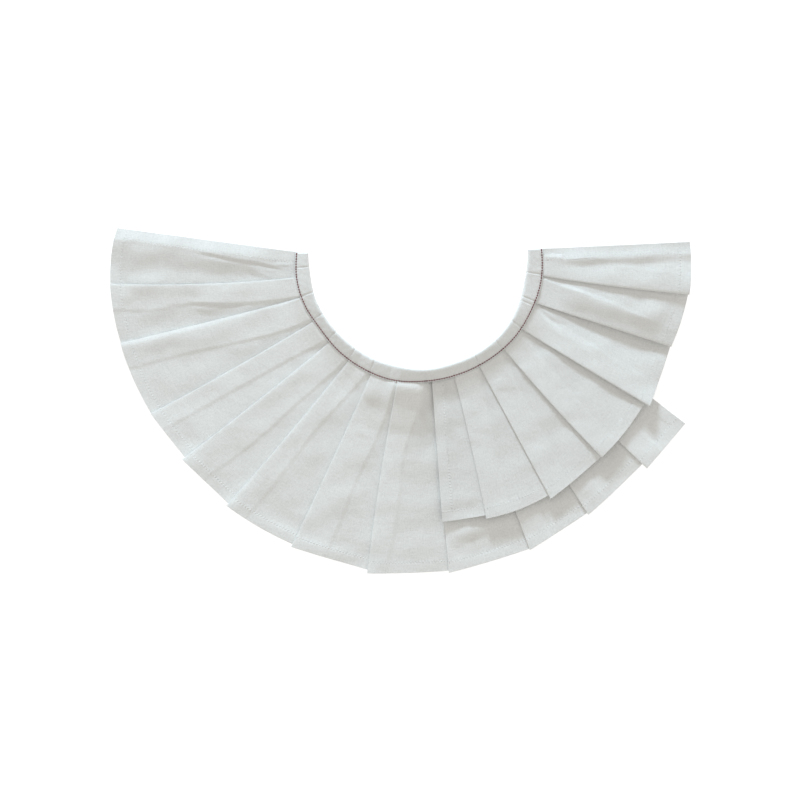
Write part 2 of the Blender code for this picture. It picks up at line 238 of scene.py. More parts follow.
def four_round(values, left):
    """The values at and after a place in a row, with one more on each side where there is one."""
    return [values[min(max(left + step, 0), len(values) - 1)] for step in (-1, 0, 1, 2)]


def smooth_curve(values, share):
    """The value part of the way between the middle two of four, on a smooth curve."""
    before, left, right, beyond = values
    start, end = (right - before) / 2, (beyond - left) / 2
    middle = 3 * (right - left) - 2 * start - end
    return left + share * (start + share * (middle + share * (start + end - 2 * (right - left))))


def along_neck(degrees, column):
    """A column of the neck's table at an angle, on a smooth curve through its rows."""
    after = min(max(sum(row.deg <= degrees for row in NECK), 1), len(NECK) - 1)
    rows = four_round(NECK, after - 1)
    share = (degrees - rows[1].deg) / (rows[2].deg - rows[1].deg)
    return smooth_curve([getattr(row, column) for row in rows], share)


def root(degrees):
    """The plan point where a panel's top edge is, inside the binding."""
    return round_neck(degrees, along_neck(degrees, "outer") - ROOT_DEPTH)


def strayed(top, bottom, share, stray):
    """A point down a fold, straight but for one soft bend."""
    aside = (bottom - top).normalized().orthogonal()
    return top.lerp(bottom, share) + aside * (4 * share * (1 - share) * stray)


def knife_edge(fold, share):
    """A point down a fold's visible edge, from the root at share 0 to the hem at share 1."""
    return strayed(root(fold.seam_deg), round_neck(fold.hem_deg, fold.reach), share, fold.stray)


def under_edge(fold, share):
    """The point of the face before that lies right under that edge."""
    hem = round_neck(fold.hem_deg, fold.under_reach)
    return strayed(root(fold.seam_deg), hem, share, fold.stray)


def tuck_at(fold, following, share):
    """How much cloth is hidden behind an edge, on a smooth curve through the fold's values."""
    neck = fold.neck_tuck * math.radians(following.seam_deg - fold.seam_deg) * ROOT_RADIUS
    values = (neck, *fold.tucks)
    place = min(share, 1.0) * (len(values) - 1)
    left = min(int(place), len(values) - 2)
    return smooth_curve(four_round(values, left), place - left)


def hidden_edge(fold, following, share):
    """A point down the fold that is hidden behind that edge, where the cloth turns back."""
    edge = under_edge(fold, share)
    aside = edge - NECK_CENTRE
    reach = aside.length - TUCK_RISE * share
    turn = math.atan2(-aside.y, -aside.x) + tuck_at(fold, following, share) / aside.length
    return NECK_CENTRE + Vector((-math.cos(turn), -math.sin(turn))) * reach


def bowed(start, end, part, share, bow):
    """A point part of the way across: on a curve round the neck at the root, bowed at the hem."""
    outward = ((start + end) / 2 - NECK_CENTRE).normalized()
    chord = (end - start).length
    curve = chord * chord / (8 * ROOT_RADIUS) * (1 - share) + bow * share
    return start.lerp(end, part) + outward * (4 * part * (1 - part) * curve)


def panel_depth(folds):
    """The mean length of a panel's folds, from root to hem."""
    lengths = [(knife_edge(fold, 1) - knife_edge(fold, 0)).length for fold in folds]
    return sum(lengths) / len(lengths)


def held_up(x, y):
    """1 where the short panel lies on the long one, 0 where it has come down past its end."""
    top, bottom = knife_edge(LONG_FOLDS[-1], 0), knife_edge(LONG_FOLDS[-1], 1)
    down = (bottom - top).normalized()
    away = down.x * (y - top.y) - down.y * (x - top.x)
    return 1 - eased_all((away + EASE_BEFORE) / (EASE_BEFORE + EASE_AFTER))


# The cloth, and how loosely it lies
CLOTH = 0.4  # thickness of one layer
HEM_CLOTH = 0.65  # thickness where it is turned under
HEM = 12.0  # depth of the turned hems
HEM_EDGE = 1.0  # half the width of the step at the hem's inner edge
HEM_EASE = 6.0  # distance below the binding over which the end hems get their thickness
SEWN_IN = 11.0  # the hem stitches' distance in from the edge
LOFT = 0.9  # how far the cloth stands off what it lies on, on average
LOFT_EASE = 24.0  # distance below the binding over which it comes loose
LOFT_ROUND = 0.04  # how softly a trough bottoms out on what lies below, as a square
STITCH_ROOM = 0.3  # what the hem stitches take up beneath it
BAND_FLOOR = 5.0  # height at which the binding holds the panels
BAND_EASE = 25.0  # and the distance over which they come down from there
BAND_CURVE = 1.7  # more than 1: steeper at first than later
RELIEF_EASE = 1.5  # distance below the binding over which the creases begin
FLIP_CURVE = 1.5  # how late the hem's turning-up comes
LIFT_CURVE = 0.7  # how early an edge's standing open does

# The cloth's swelling at the front, beside the short panel: its height, and the shares of it
# at angles round the neck and at distances from the neck centre
BULGE = 13.0
BULGE_ROUND = ((60, 0), (66, 0.28), (76, 0.42), (80.5, 1), (91, 1), (95.5, 0.35), (101, 0))
BULGE_OUT = ((131, 0.62), (138, 0.84), (143, 0.84), (151, 0.66), (165, 0.38), (185, 0.1), (210, 0))
# and how the binding swells over it
BULGE_BAND = ((60, 0), (66, 0.3), (76, 0.52), (81, 1), (91, 1), (96, 0.36), (102, 0))

# The lines of the mesh
RIM = 0.4  # distance in from the cloth's edge of the last one
ROLL_MARKS = (0.0, 0.2, 0.45, 0.7, 1.0)  # shares of a roll's width
DROP_MARKS = (0.12, 0.35, 0.6, 0.85, 1.1)  # shares of a drop's width
LEAST_BARE = 2.0  # the least of a face that has no hidden fold beneath it
MOST_DROP = 0.6  # the most of that which a drop takes
DROP_FADE = 0.5  # how much of a drop is gone at the hem
COVERED_CELLS = 6  # from the roll to the drop behind the hidden fold
BARE_CELLS = 8  # and from there to the next edge
UNDER_CELLS = 5  # under that edge
RETURN_CELLS = 5  # and back
TURN_STEPS = (-60, -30, 0, 30, 60)  # degrees round a fold
SEAM_RINGS = (0.0, 4.0, 8.0, IN_BAND)  # depths of the first ones round the neck
PUCKER_RING = 1.7  # distance between those that carry the seam's puckers
PUCKERED = 12.0  # how far down those go
RING = 3.0  # distance between the rest
BACKED_EASE = 6.0  # distance over which the layers beneath stop showing through

# A panel: how much of each pleat's step comes down right behind its hidden fold, over what
# width, how far its hem turns up over what length, how far its two end hems stand up at their
# inner edges, over what widths at the neck and at the hem, how the rise of its stacks grows
# with the distance out, and the seed and strength of its own ripples
PleatedPanel = namedtuple(
    "PleatedPanel", "folds creases on_long drop drop_wide flip ridge ridge_wide grows seed own"
)
LONG = PleatedPanel(
    LONG_FOLDS, LONG_CREASES, on_long=False, drop=0.85, drop_wide=5.0, flip=(0.6, 22.0),
    ridge=(2.9, 0.5), ridge_wide=(31.0, 45.0), grows=1.2, seed=5, own=0.3,
)
SHORT = PleatedPanel(
    SHORT_FOLDS, SHORT_CREASES, on_long=True, drop=0.35, drop_wide=5.0, flip=(2.0, 52.0),
    ridge=(0.8, 2.6), ridge_wide=(20.0, 22.0), grows=0.75, seed=7, own=0.2,
)

RIPPLES = ((46.0, 0.36), (27.0, 0.17), (16.0, 0.06), (10.0, 0.03))  # wavelength and height
RIPPLE_WAVES = 5  # waves of each length, each in its own direction
RIPPLE_PEAK = 1.4  # a wave's peak, against that height
SHARED_RIPPLES = 11  # the seed of those that both panels have
BINDING_RIPPLES = 23  # and of the binding's
OWN_FINER = 1.3  # how much finer each panel's own ones are
OWN_MOVED = 40.0
BINDING_FINER = 1.2


def ripples(x, y, seed):
    """Gentle unevenness of cloth that has been pressed and handled."""
    draw = random.Random(seed)
    height = np.zeros_like(x)
    for length, high in RIPPLES:
        for _ in range(RIPPLE_WAVES):
            turn, phase = draw.uniform(0, math.pi), draw.uniform(0, 2 * math.pi)
            wave = (x * math.cos(turn) + y * math.sin(turn)) * 2 * math.pi / length
            height += high / math.sqrt(RIPPLE_WAVES) * np.sin(wave + phase) * RIPPLE_PEAK
    return height


CREASE_BELL = 1.6  # how much narrower than its width a crease's bell is
CREASE_FADE = 0.3  # share of its length over which each end of a crease fades
CREASE_END = 0.15  # and how much of that fade is left out at the very end
TILT_PEAK = 2.33  # what brings a tilted crease's two sides up to its tilt


def creases(x, y, rows):
    """The sum of the creases in a table, at each plan point."""
    height = np.zeros_like(x)
    for row in rows:
        spots = [round_neck(*spot) for spot in row.path]
        lengths = [(end - start).length for start, end in zip(spots, spots[1:])]
        whole, gone = sum(lengths), 0.0
        best, signed, done = np.full_like(x, 1e9), np.zeros_like(x), np.zeros_like(x)
        for start, end, length in zip(spots, spots[1:], lengths):
            ahead = (end - start) / length
            part = (x - start.x) * ahead.x + (y - start.y) * ahead.y
            near = np.clip(part, 0.0, length)
            away_x, away_y = x - start.x - near * ahead.x, y - start.y - near * ahead.y
            off = np.hypot(away_x, away_y)
            left = np.sign(ahead.x * away_y - ahead.y * away_x)
            closer = off < best
            best = np.where(closer, off, best)
            signed = np.where(closer, off * left, signed)
            done = np.where(closer, gone + near, done)
            gone += length
        fade = eased_all(np.minimum(done, whole - done) / (CREASE_FADE * whole) + CREASE_END)
        across = signed / row.width * CREASE_BELL
        bell = np.exp(-(across**2))
        height += (row.height + row.tilt * across * TILT_PEAK) * bell * fade
    return height


def polar(x, y):
    """Angle in degrees and distance, round the neck centre."""
    away_x, away_y = x - NECK_CENTRE.x, y - NECK_CENTRE.y
    return np.degrees(np.arctan2(-away_y, -away_x)), np.hypot(away_x, away_y)


# A point of a pleat: its place in plan, the layers beneath it, what lifts it, how far it is
# from a side edge, and how many layers the cloth has there
Spot = namedtuple("Spot", "point level lift rise roll side layers")
STACK = 3.0  # layers in a pleat
FAR = 1e3  # further from a side edge than any hem reaches
ROLL_AT_NECK = 0.45  # how high an edge's roll is at the neck, against the hem
NARROW_AT_NECK = 0.5  # and how wide


def roll_width(fold, share):
    """How wide the cloth rounds over at an edge, at one share of its depth."""
    return fold.roll_wide * (NARROW_AT_NECK + (1 - NARROW_AT_NECK) * share)


def rolled(fold, past, tuck, share):
    """How much a pleat swells over its own edge, at a distance past it."""
    wide = roll_width(fold, share)
    swell = 1 - (1 - min(max(past, 0.0) / wide, 1.0)) ** 2
    sink = 1 - eased((past - wide) / max(tuck - wide, 1.0))
    high = fold.roll_high * (ROLL_AT_NECK + (1 - ROLL_AT_NECK) * share)
    return high * swell * sink * eased(share * 8)


def stacked(fold, past, wide):
    """How much of a fold's rise its whole stack keeps, at a distance past the edge."""
    return fold.rise * (1 - eased(past / wide))


def face_marks(first, last, shown, covered, wide, roll_wide):
    """Distances across a face at which it has points, from its knife edge on."""
    if first:
        marks = [0.0, RIM, HEM / 2, HEM - HEM_EDGE, HEM, HEM + HEM_EDGE]
        cells = COVERED_CELLS + BARE_CELLS + 6
        rest = shown - marks[-1]
        return marks + [HEM + HEM_EDGE + rest * step / cells for step in range(1, cells + 1)]
    marks = [roll_wide * part for part in ROLL_MARKS]
    start, rest = marks[-1], covered - RIM - marks[-1]
    marks += [start + rest * step / COVERED_CELLS for step in range(1, COVERED_CELLS + 1)]
    marks += [covered + wide * part for part in DROP_MARKS]
    start, rest = marks[-1], shown - marks[-1]
    if last:
        rest -= HEM + HEM_EDGE
    marks += [start + rest * step / BARE_CELLS for step in range(1, BARE_CELLS + 1)]
    if last:
        marks += [shown - HEM, shown - HEM + HEM_EDGE, shown - HEM / 2, shown - RIM, shown]
    return marks


def across_face(panel, number, share):
    """Spots across one pleat's face, and on under the next one to its hidden fold."""
    folds = panel.folds
    fold, following = folds[number], folds[number + 1]
    start, edge = knife_edge(fold, share), under_edge(following, share)
    first, last = number == 0, number == len(folds) - 2
    end = edge if last else hidden_edge(following, folds[number + 2], share)
    shown, under = (edge - start).length, (end - edge).length
    covered = 0.0 if first else (hidden_edge(fold, following, share) - start).length
    covered = min(covered, shown - LEAST_BARE)
    bare = shown - covered
    wide = min(panel.drop_wide, bare * MOST_DROP)
    nearby = panel.drop * (1 - DROP_FADE * share)
    roll_wide = min(roll_width(fold, share), covered / 2)
    spots = []
    for mark in face_marks(first, last, shown, covered, wide, roll_wide):
        part = mark / shown
        point = bowed(start, edge, part, share, fold.bow)
        over = max(0.0, mark - covered)
        near, far = 1 - eased(over / wide), 1 - eased(over / bare)
        level = 0.0 if first else 2 * (nearby * near + (1 - nearby) * far)
        layers = 1.0 if first else 1 + 2 * (1 - eased(over / BACKED_EASE))
        side = mark if first else shown - mark if last else FAR
        roll = 0.0 if first else rolled(fold, mark, covered, share)
        lift = fold.lift * (1 - eased(part))
        climb = max(part - following.rise_from, 0.0) / (1 - following.rise_from)
        rise = stacked(fold, mark, shown) + following.rise * climb ** (1 + following.rise_from)
        spots.append(Spot(point, level, lift, rise, roll, side, layers))
    if not last:
        beyond = next_width(folds, number + 1, share)
        for step in range(1, UNDER_CELLS + 1):
            part = step / UNDER_CELLS
            roll = rolled(following, under * part, under, share)
            rise = stacked(following, under * part, beyond)
            spots.append(Spot(edge.lerp(end, part), 0.0, 0.0, rise, roll, FAR, STACK))
    return spots


def next_width(folds, number, share):
    """How wide the face behind a fold is."""
    return (under_edge(folds[number + 1], share) - knife_edge(folds[number], share)).length


def round_fold(place, out, level, lift, rise):
    """Spots round a fold, up from the layer at that level to the next."""
    spots = []
    for turn in TURN_STEPS:
        high, wide = math.sin(math.radians(turn)), math.cos(math.radians(turn))
        spots.append(Spot(place + out * wide, level + 0.5 + 0.5 * high, lift, rise, 0.0, FAR, STACK))
    return spots


def cloth_ring(panel, share):
    """All the spots across a panel at one share of its depth, from one end to the other."""
    folds, ring = panel.folds, []
    for number in range(len(folds) - 1):
        ring += across_face(panel, number, share)
        if number == len(folds) - 2:
            break
        following = folds[number + 1]
        beyond = next_width(folds, number + 1, share)
        edge = knife_edge(following, share)
        turned = hidden_edge(following, folds[number + 2], share)
        tuck = (turned - edge).length
        out = (turned - edge) / tuck * STEP / 2
        lift = following.lift
        ring += round_fold(turned, out, 0.0, 0.0, stacked(following, tuck, beyond))
        for step in range(RETURN_CELLS + 1):
            part = step / RETURN_CELLS
            past = tuck * (1 - part)
            rise, roll = stacked(following, past, beyond), rolled(following, past, tuck, share)
            place = turned.lerp(edge, part)
            ring.append(Spot(place, 1.0, lift * part * part, rise, roll, FAR, STACK))
        ring += round_fold(edge, -out, 1.0, lift, following.rise)
    return ring


def ring_depths(deep):
    """Depths of the mesh's rings: close at the seam and across the hem's inner edge."""
    depths = [*SEAM_RINGS]
    while depths[-1] < IN_BAND + PUCKERED:
        depths.append(depths[-1] + PUCKER_RING)
    last = deep - HEM - HEM_EDGE
    steps = math.ceil((last - depths[-1]) / RING)
    start = depths[-1]
    depths += [start + (last - start) * step / steps for step in range(1, steps + 1)]
    depths += [deep - HEM, deep - HEM + HEM_EDGE]
    start = depths[-1]
    depths += [start + (deep - start) * step / 4 for step in range(1, 4)]
    return depths + [deep - RIM, deep]


PUCKER_PITCH = 6.1
FINE_PUCKER_PITCH = 3.7
PUCKER_HIGH = 0.20
PUCKER_LONG = 8.0
GATHER_PITCH = 5.3
GATHER_HIGH = 0.06
GATHER_WIDE = 4.5


def seam_puckers(x, y, depth):
    """Short puckers that run down from the neck seam, at uneven distances."""
    degrees, _ = polar(x, y)
    arc = np.radians(degrees) * SEAM_RADIUS
    past = np.clip(depth - IN_BAND, 0, None)
    wave = np.sin(arc * 2 * math.pi / PUCKER_PITCH + 2.2 * np.sin(arc / 13.0))
    wave += 0.6 * np.sin(arc * 2 * math.pi / FINE_PUCKER_PITCH + 1.0)
    return PUCKER_HIGH * wave * np.exp(-past / PUCKER_LONG) * eased_all(past / 2.0)


def hem_gathers(x, y, to_hem):
    """The slight drawing-up of the cloth along the hem's stitches."""
    degrees, reach = polar(x, y)
    wave = np.sin(np.radians(degrees) * reach * 2 * math.pi / GATHER_PITCH)
    return GATHER_HIGH * wave * np.exp(-(((to_hem - SEWN_IN) / GATHER_WIDE) ** 2))


def neck_floor(x, y, depth):
    """Height of what the panels lie on near the neck, where the binding holds them up."""
    degrees, reach = polar(x, y)
    down = 1 - np.clip((depth - IN_BAND) / BAND_EASE, 0, 1)
    bulge = BULGE * np.interp(degrees, *zip(*BULGE_ROUND)) * np.interp(reach, *zip(*BULGE_OUT))
    return BAND_FLOOR * down**BAND_CURVE + bulge


def end_ridge(panel, side, out):
    """The low ridge along an end hem's inner edge, sloping down to the cloth's end."""
    near = np.clip(side / HEM, 0, 1)
    at_neck, at_hem = panel.ridge_wide
    beyond = 1 - eased_all((side - HEM) / (at_neck + (at_hem - at_neck) * out - HEM))
    first, last = panel.ridge
    high = np.where(np.arange(side.shape[1]) < side.shape[1] / 2, first, last)
    return high * near * beyond * eased_all(out * 4)


def first_stitch(length, pitch):
    """Where the first of a line's stitches goes, with its stitches centred on it."""
    return (length - (int(length / pitch) - 1) * pitch) / 2


def line_run(points):
    """The length of a line up to each of its points."""
    return np.concatenate([[0.0], np.cumsum(np.linalg.norm(np.diff(points, axis=0), axis=-1))])


def panel_surface(panel, pitch):
    """The two sides of a panel's cloth, as grids of points, with what its finish needs."""
    deep = panel_depth(panel.folds)
    depths = np.array(ring_depths(deep))
    rings = [cloth_ring(panel, depth / deep) for depth in depths]
    x = np.array([[spot.point.x for spot in ring] for ring in rings])
    y = np.array([[spot.point.y for spot in ring] for ring in rings])
    level, lift, rise, roll, side, layers = (
        np.array([[spot[item] for spot in ring] for ring in rings]) for item in range(1, 7)
    )
    depth = depths[:, None] * np.ones_like(x)
    to_hem = deep - depth
    to_edge = np.minimum(to_hem, side)
    hemmed = eased_all((HEM + HEM_EDGE - to_edge) / (2 * HEM_EDGE))
    hemmed *= eased_all((depth - IN_BAND) / HEM_EASE)
    wall = CLOTH + (HEM_CLOTH - CLOTH) * hemmed

    out = np.clip((depth - IN_BAND) / (deep - IN_BAND), 0, 1)
    floor = neck_floor(x, y, depth)
    if panel.on_long:
        over = OVER_LONG + OVER_LONG_HEM * eased_all(out)
        floor = floor + over * held_up(x, y)
    free = eased_all((depth - IN_BAND) / LOFT_EASE)
    relief = ripples(x, y, SHARED_RIPPLES) * free + creases(x, y, panel.creases)
    own = ripples(x * OWN_FINER + OWN_MOVED, y * OWN_FINER, panel.seed)
    relief += own * panel.own * free
    relief += seam_puckers(x, y, depth) + hem_gathers(x, y, to_hem)
    flip, long = panel.flip
    relief += flip * np.clip(1 - to_hem / long, 0, None) ** FLIP_CURVE
    stand = LOFT * free + relief * eased_all((depth - IN_BAND) / RELIEF_EASE)
    stand = (stand + np.sqrt(stand**2 + LOFT_ROUND)) / 2 + STITCH_ROOM * free
    lifted = lift * np.sin(out * math.pi / 2) ** LIFT_CURVE + rise * out**panel.grows
    lifted += end_ridge(panel, side, out)
    height = floor + wall / 2 + level * STEP + lifted + roll + stand

    middle = np.stack([x, y, height], axis=-1)
    normal = np.cross(np.gradient(middle, axis=0), np.gradient(middle, axis=1))
    normal /= np.linalg.norm(normal, axis=-1, keepdims=True)
    after = int(np.searchsorted(depths, deep - SEWN_IN))
    hem_run = line_run(middle[after])
    hem_run -= first_stitch(hem_run[-1], pitch)
    return {
        "upper": middle + normal * wall[..., None] / 2,
        "lower": middle - normal * wall[..., None] / 2,
        "normal": normal,
        # Painted light: the more layers lie beneath the cloth, its turned hems counted, the paler it is
        # coloured
        "layers": np.minimum(layers + hemmed, STACK),
        "hem_off": np.hypot(to_hem - SEWN_IN, np.clip(SEWN_IN - side, 0, None)),
        "end_off": np.hypot(side - SEWN_IN, np.clip(SEWN_IN - to_hem, 0, None)),
        "hem_run": hem_run[None, :] * np.ones_like(x),
        "strip": line_run(middle[len(depths) // 2])[None, :] * np.ones_like(x),
        "depth": depth,
        "depths": depths,
        "deep": deep,
        "side": side,
    }


def grid_piece(name, upper, lower, point_values, uv, material):
    """A closed piece between two grids of points, with its values, its weave's map and finish."""
    rings, width = upper.shape[:2]
    points = np.concatenate([upper.reshape(-1, 3), lower.reshape(-1, 3)]) * METRES
    index = np.arange(rings * width).reshape(rings, width)
    under = index + rings * width

    def corners(grid):
        places = [grid[:-1, :-1], grid[1:, :-1], grid[1:, 1:], grid[:-1, 1:]]
        return np.stack(places, axis=-1).reshape(-1, 4)

    faces = [corners(index), corners(under)[:, [0, 3, 2, 1]]]
    for line, beneath, flip in (
        (index[:, 0], under[:, 0], False),
        (index[:, -1], under[:, -1], True),
        (index[0], under[0], True),
        (index[-1], under[-1], False),
    ):
        quad = np.stack([line[:-1], beneath[:-1], beneath[1:], line[1:]], axis=-1)
        faces.append(quad[:, ::-1] if flip else quad)
    faces = np.concatenate(faces)
    mesh = bpy.data.meshes.new(name)
    mesh.vertices.add(len(points))
    mesh.vertices.foreach_set("co", points.astype(np.float32).ravel())
    mesh.loops.add(faces.size)
    mesh.loops.foreach_set("vertex_index", faces.astype(np.int32).ravel())
    mesh.polygons.add(len(faces))
    mesh.polygons.foreach_set("loop_start", np.arange(0, faces.size, 4, dtype=np.int32))
    mesh.update(calc_edges=True)
    mesh.shade_smooth()
    for key, values in point_values.items():
        flat = np.tile(values.reshape(-1), 2).astype(np.float32)
        mesh.attributes.new(key, "FLOAT", "POINT").data.foreach_set("value", flat)
    flat = np.tile(uv.reshape(-1, 2), (2, 1)) * METRES
    layer = mesh.uv_layers.new(name="weave")
    layer.data.foreach_set("uv", flat[faces.ravel()].astype(np.float32).ravel())
    mesh.materials.append(material)
    mesh.validate()
    obj = bpy.data.objects.new(name, mesh)
    bpy.context.scene.collection.objects.link(obj)
    return obj


# The neck binding
BIND_CLOTH = 0.5  # its thickness
BIND_RADIUS = 125.0  # about how far its middle is from the neck centre
BIND_STEP = 0.22  # degrees from one section to the next
OVER_PLEATS = BAND_FLOOR + 2.5  # height of the binding's underside over one panel's pleats
SECOND_PANEL = 3.2  # and what the second panel adds
NOSE = 2.3  # how far the folded edge is rounded
NOSE_POWER = 2.4  # and how fully: 2 is an ellipse
NOSE_TURNS = (75, 55, 35, 15, 0, -15, -35, -55, -75)  # degrees round it
SEW_IN = 1.5  # the seam's distance in from the open edge
LIP = (0.0, 0.35, 0.9, SEW_IN, 2.1, 3.0, 4.2)  # distances in from the open edge
CROWN_CELLS = 6  # and the cells from there to the crown
CROWN = 3.5  # how high the binding's crown stands above its seam
CROWN_CURVE = 1.15  # and how rounded it is: 1 is straight
END_EASE = 1.5  # distance from its ends over which it closes
BAND_SETTLE = 0.3  # how much of a panel's ripples it has

SEAM_SINK = 0.40  # how far the seam draws it down
SEAM_SINK_WIDE = 0.85
BAND_PUCKER_HIGH = 0.10  # its puckers along the seam
BAND_PUCKER_PITCH = 5.4
BAND_PUCKER_AT = 2.8
BAND_PUCKER_WIDE = 2.2
DRAG_HIGH = 0.07  # its faint drag lines, aslant as on any bias strip
DRAG_PITCH = 8.3
DRAG_SLANT = 0.9
DRAG_WAVER = 2.0  # how far they wander, in radians of their waves
DRAG_WAVER_LONG = 17.0
SETTLE_EASE = 3.0  # height over which its faint unevenness begins
LIP_IN = 0.15  # how far in and how far up the open edge's lower corner is
LIP_UP = 0.1
LIP_OUT = 0.2  # how far out the cloth rolls just above it
LIP_THICK = 0.25  # and how much thicker it is there, where it is turned in
LIP_WIDE = 1.0
INSIDE_IN = 0.1  # how much nearer to the neck its inner face is
CROWN_BACK = 0.5  # how far its crown is from the nose
NOSE_INSIDE = 0.8  # how much of the nose's depth its inner face reaches
CLOSED = 0.55  # what is left of its height at its very ends

# Where a pleat's edge shows through the binding as a thin dip, and how deep
BINDING_DIPS = (
    (5.5, 0.6), (18.8, 0.8), (30.8, 0.9), (42.4, 0.8), (55.5, 0.9), (67.0, 0.8), (93.0, 0.7),
    (106.0, 0.3), (119.0, 0.8), (132.0, 0.9), (145.0, 0.9), (156.5, 0.6), (158.7, 0.7), (171.5, 0.9),
)
DIP_GENTLE = 2.2  # width of a dip's side that faces away from the light
DIP_STEEP = 0.7  # and of its other side
DIP_EASE = 2.5  # distance in from the open edge over which the dips begin


def over_pleats(degrees):
    """Height of the binding's underside: over one panel's pleats, or over both."""
    ends = [round_neck(degrees, along_neck(degrees, side)) for side in ("inner", "outer")]
    second = max(float(held_up(np.array(end.x), np.array(end.y))) for end in ends)
    second *= eased((degrees - FRONT_FROM) / (FRONT_TO - FRONT_FROM))
    bulge = BULGE * float(np.interp(degrees, *zip(*BULGE_BAND))) * BULGE_OUT[0][1]
    return OVER_PLEATS + second * SECOND_PANEL + bulge


def binding_relief(degrees, inward, crown_at):
    """How much the binding rises or sinks at a distance in from its open edge.

    It rounds up to its crown, sinks at the seam, and has puckers along the seam, drag lines
    aslant, and the dips.
    """
    arc = math.radians(degrees) * BIND_RADIUS
    short_of = min(max((crown_at - inward) / (crown_at - SEW_IN), 0.0), 1.0)
    rise = CROWN * (1 - short_of**CROWN_CURVE)
    rise -= SEAM_SINK * math.exp(-(((inward - SEW_IN) / SEAM_SINK_WIDE) ** 2))
    pucker = BAND_PUCKER_HIGH * math.sin(arc * 2 * math.pi / BAND_PUCKER_PITCH)
    rise += pucker * math.exp(-(((inward - BAND_PUCKER_AT) / BAND_PUCKER_WIDE) ** 2))
    waver = DRAG_WAVER * math.sin(arc / DRAG_WAVER_LONG)
    rise += DRAG_HIGH * math.sin((arc - inward * DRAG_SLANT) * 2 * math.pi / DRAG_PITCH + waver)
    for mark, deep in BINDING_DIPS:
        past = math.radians(degrees - mark) * BIND_RADIUS * (1 if mark < 90 else -1)
        wide = DIP_GENTLE if past < 0 else DIP_STEEP
        rise -= deep * (1 - eased(abs(past) / wide)) * eased(inward / DIP_EASE)
    return rise


def binding_section(degrees):
    """The binding's two faces at an angle, from its open edge over the nose and back beneath."""
    folded, open_edge = along_neck(degrees, "inner"), along_neck(degrees, "sewn") + SEW_IN
    width = open_edge - folded
    crown_at = width - NOSE - CROWN_BACK
    cell = (crown_at - LIP[-1]) / CROWN_CELLS
    ceiling = over_pleats(degrees)
    from_end = math.radians(min(degrees - BINDING_FROM, BINDING_TO - degrees)) * BIND_RADIUS
    closing = CLOSED + (1 - CLOSED) * math.sin(min(from_end / END_EASE, 1.0) * math.pi / 2)
    middle = ceiling / 2
    upper, lower = [], []
    for inward in (*LIP, *(LIP[-1] + cell * step for step in range(1, CROWN_CELLS + 1))):
        top = ceiling + BIND_CLOTH + binding_relief(degrees, inward, crown_at)
        at_lip = inward < LIP_WIDE
        if inward == 0.0:
            upper.append((open_edge - LIP_IN, ceiling + LIP_UP))
        else:
            upper.append((open_edge - inward + LIP_OUT * at_lip, top))
        lower.append((open_edge - inward - INSIDE_IN, top - BIND_CLOTH - LIP_THICK * at_lip))
    crown = upper[-1][1]
    for turn in NOSE_TURNS:
        cosine, sine = math.cos(math.radians(turn)), math.sin(math.radians(turn))
        out = cosine ** (2 / NOSE_POWER) * NOSE
        high = abs(sine) ** (2 / NOSE_POWER) * math.copysign(1, sine)
        upper.append((folded + NOSE - out, crown / 2 + high * crown / 2))
        shrink = (crown / 2 - BIND_CLOTH) / (crown / 2)
        inside = folded + NOSE - out * NOSE_INSIDE
        lower.append((inside, crown / 2 + high * crown / 2 * shrink))
    for inward in (width - NOSE, width / 2, 0.0):
        upper.append((open_edge - inward, 0.0))
        lower.append((open_edge - inward, BIND_CLOTH))
    section = []
    for side in (upper, lower):
        places = [(round_neck(degrees, reach), high) for reach, high in side]
        section.append([(at.x, at.y, middle + (high - middle) * closing) for at, high in places])
    return section


def binding_surface():
    """The binding's outer and inner faces as grids of points, and the lengths for its weave."""
    steps = round((BINDING_TO - BINDING_FROM) / BIND_STEP)
    angles = [BINDING_FROM + (BINDING_TO - BINDING_FROM) * step / steps for step in range(steps + 1)]
    sections = np.array([binding_section(degrees) for degrees in angles])
    outer, inner = sections[:, 0], sections[:, 1]
    finer = outer * BINDING_FINER
    settle = BAND_SETTLE * ripples(finer[..., 0], finer[..., 1], BINDING_RIPPLES)
    settle *= eased_all(outer[..., 2] / SETTLE_EASE)
    outer[..., 2] += settle
    inner[..., 2] += settle * eased_all(inner[..., 2] / SETTLE_EASE)
    round_it = np.array(angles)[:, None] * (math.pi / 180) * BIND_RADIUS * np.ones(outer.shape[:2])
    runs = np.linalg.norm(np.diff(outer[len(angles) // 2], axis=0), axis=-1)
    across = np.concatenate([[0.0], np.cumsum(runs)])[None, :] * np.ones(outer.shape[:2])
    return outer, inner, np.stack([round_it, across], axis=-1)


# Finishes: sizes in metres
THREAD = 0.00042  # from one thread of the weave to the next
SLUB = 0.011  # length of a thicker stretch of thread
GRAIN = 0.0012  # size of the thread's own unevenness
CRUMPLE = 0.0055  # size of the fine creasing
MOTTLE = 0.030  # size of the faint paler and darker patches
GRAIN_TINT = 0.09  # how much paler or darker the thread gets
MOTTLE_TINT = 0.012  # and the patches
# Noise keeps near its middle, so only this much of its range is spread out
GRAIN_RANGE = (1.05, 1.95)
MOTTLE_RANGE = (0.3, 0.7)
SLUB_RANGE = (0.7, 1.3)
ROUGHNESS = (0.84, 0.94)  # of the thinnest thread and of the thickest
CRUMPLE_HEIGHT = 0.0005
SLUB_HEIGHT = 0.00009
WEAVE_HEIGHT = 0.00006
DIMPLE_DEPTH = 0.00032  # of the hollows that the hem stitches draw
DIMPLE_NARROW = 1.1  # per square millimetre
PLY_HEIGHT = 0.0001  # of the sewing thread's plies
PLY_WAVER = 1.5
THREAD_PATCHES = 140.0  # per metre
THREAD_SHADES = (0.82, 1.15)  # its darkest and its palest, against its colour


